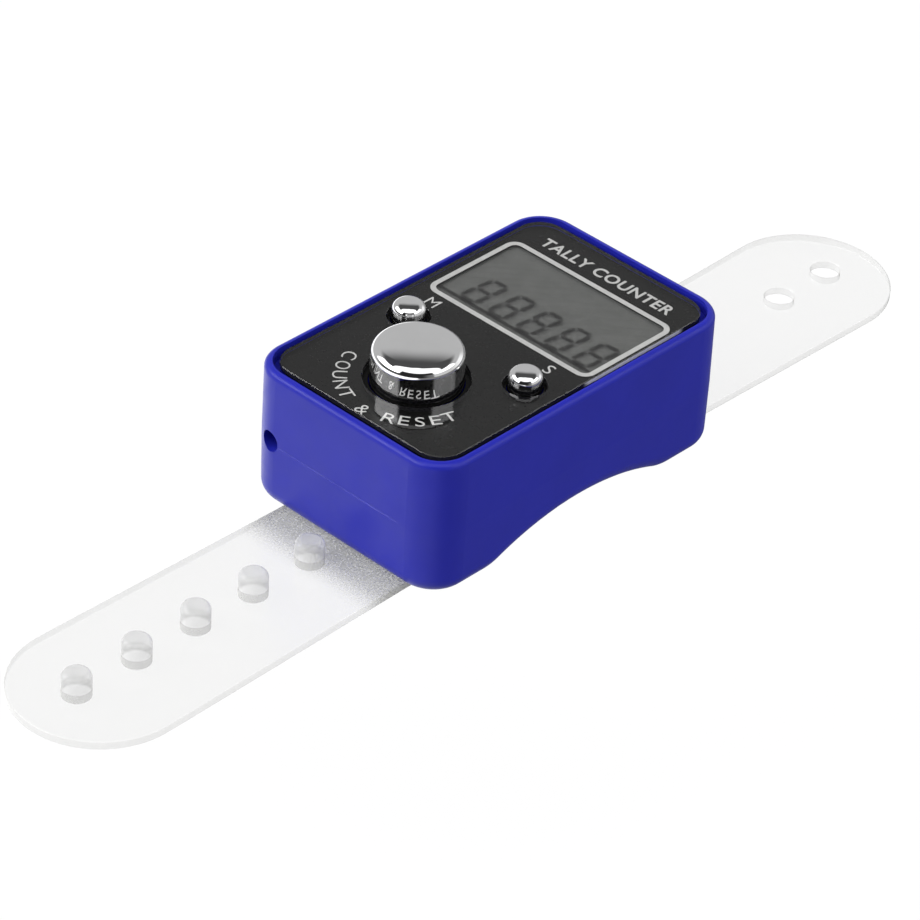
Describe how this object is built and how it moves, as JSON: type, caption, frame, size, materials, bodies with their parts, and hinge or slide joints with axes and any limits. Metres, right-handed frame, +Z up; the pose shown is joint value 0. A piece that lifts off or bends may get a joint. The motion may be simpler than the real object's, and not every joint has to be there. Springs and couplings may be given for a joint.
{
  "type": "hand tally counter",
  "caption": "Pocket digital tally counter: two-part case with display, sprung chrome count and set keys, arched finger saddle and a clear wrap-round finger strap with pegs and holes.",
  "frame": {"origin": "on the surface the counter stands on, at the middle of the flat-laid strap", "axes": "+Z up through the face, +Y along the strap towards the display end, +X towards the set button"},
  "size_m": [0.0262, 0.1194, 0.0204],
  "materials": {
    "case_blue": "satin moulded plastic",
    "clear_sheet": "clear polished sheet",
    "face_black": "black print",
    "lcd_film": "neutral grey film",
    "lcd_glass": "clear glass",
    "lcd_reflector": "matt reflective film",
    "holder_white": "matt moulded plastic",
    "zebra_rubber": "layered conductive rubber",
    "board_green": "solder mask",
    "pad_gold": "gold flash",
    "epoxy_black": "poured epoxy",
    "can_tin": "drawn can",
    "ceramic_tan": "fired ceramic",
    "resistor_black": "printed ceramic",
    "screw_steel": "zinc plated",
    "cell_steel": "nickel plated can",
    "contact_nickel": "nickel plated spring strip",
    "button_chrome": "bright chrome plating",
    "dome_silicone": "translucent silicone",
    "pill_carbon": "carbon loaded rubber",
    "strap_clear": "clear flexible polyurethane"
  },
  "bodies": {
    "case": {"top_shell": "case_blue", "bottom_shell": "case_blue", "face_window": "clear_sheet", "face_print": "face_black", "lcd_front_polariser": "lcd_film", "lcd_front_glass": "lcd_glass", "lcd_rear_glass": "lcd_glass", "lcd_reflector": "lcd_reflector", "lcd_holder": "holder_white", "zebra_strip": "zebra_rubber", "pcb": "board_green", "key_contact_pads": "pad_gold", "chip_on_board_blob": "epoxy_black", "timing_crystal": "can_tin", "chip_capacitors": "ceramic_tan", "chip_resistors": "resistor_black", "pcb_screws": "screw_steel", "case_screws": "screw_steel", "button_cell": "cell_steel", "battery_contact_negative": "contact_nickel", "battery_contact_positive": "contact_nickel", "count_dome_spring": "dome_silicone", "mode_dome_spring": "dome_silicone", "set_dome_spring": "dome_silicone", "strap_centre": "strap_clear"},
    "count_key": {"count_button": "button_chrome", "count_contact_pill": "pill_carbon"},
    "mode_key": {"mode_button": "button_chrome", "mode_contact_pill": "pill_carbon"},
    "set_key": {"set_button": "button_chrome", "set_contact_pill": "pill_carbon"},
    "strap_peg_1": {"strap_peg_inner": "strap_clear"},
    "strap_peg_2": {"strap_peg_outer": "strap_clear"},
    "strap_hole_1": {"strap_hole_inner": "strap_clear"},
    "strap_hole_2": {"strap_hole_outer": "strap_clear"}
  },
  "joints": [
    {"name": "count_press", "type": "slide", "parent": "case", "child": "count_key", "axis": [0, 0, -1], "range_m": [0, 0.0006], "stiffness_N_per_m": 1600, "deforming": ["count_dome_spring"]},
    {"name": "mode_press", "type": "slide", "parent": "case", "child": "mode_key", "axis": [0, 0, -1], "range_m": [0, 0.0004], "stiffness_N_per_m": 1200, "deforming": ["mode_dome_spring"]},
    {"name": "set_press", "type": "slide", "parent": "case", "child": "set_key", "axis": [0, 0, -1], "range_m": [0, 0.0004], "stiffness_N_per_m": 1200, "deforming": ["set_dome_spring"]},
    {"name": "strap_peg_bend_1", "type": "hinge", "parent": "case", "child": "strap_peg_1", "pos_m": [0, -0.012, 0], "axis": [1, 0, 0], "range_deg": [0, 90], "stiffness_Nm_per_rad": 0.0012},
    {"name": "strap_peg_bend_2", "type": "hinge", "parent": "strap_peg_1", "child": "strap_peg_2", "pos_m": [0, -0.03535, 0], "axis": [1, 0, 0], "range_deg": [0, 90], "stiffness_Nm_per_rad": 0.0008},
    {"name": "strap_hole_bend_1", "type": "hinge", "parent": "case", "child": "strap_hole_1", "pos_m": [0, 0.014, 0], "axis": [-1, 0, 0], "range_deg": [0, 90], "stiffness_Nm_per_rad": 0.0012},
    {"name": "strap_hole_bend_2", "type": "hinge", "parent": "strap_hole_1", "child": "strap_hole_2", "pos_m": [0, 0.0386, 0], "axis": [-1, 0, 0], "range_deg": [0, 90], "stiffness_Nm_per_rad": 0.0008}
  ]
}
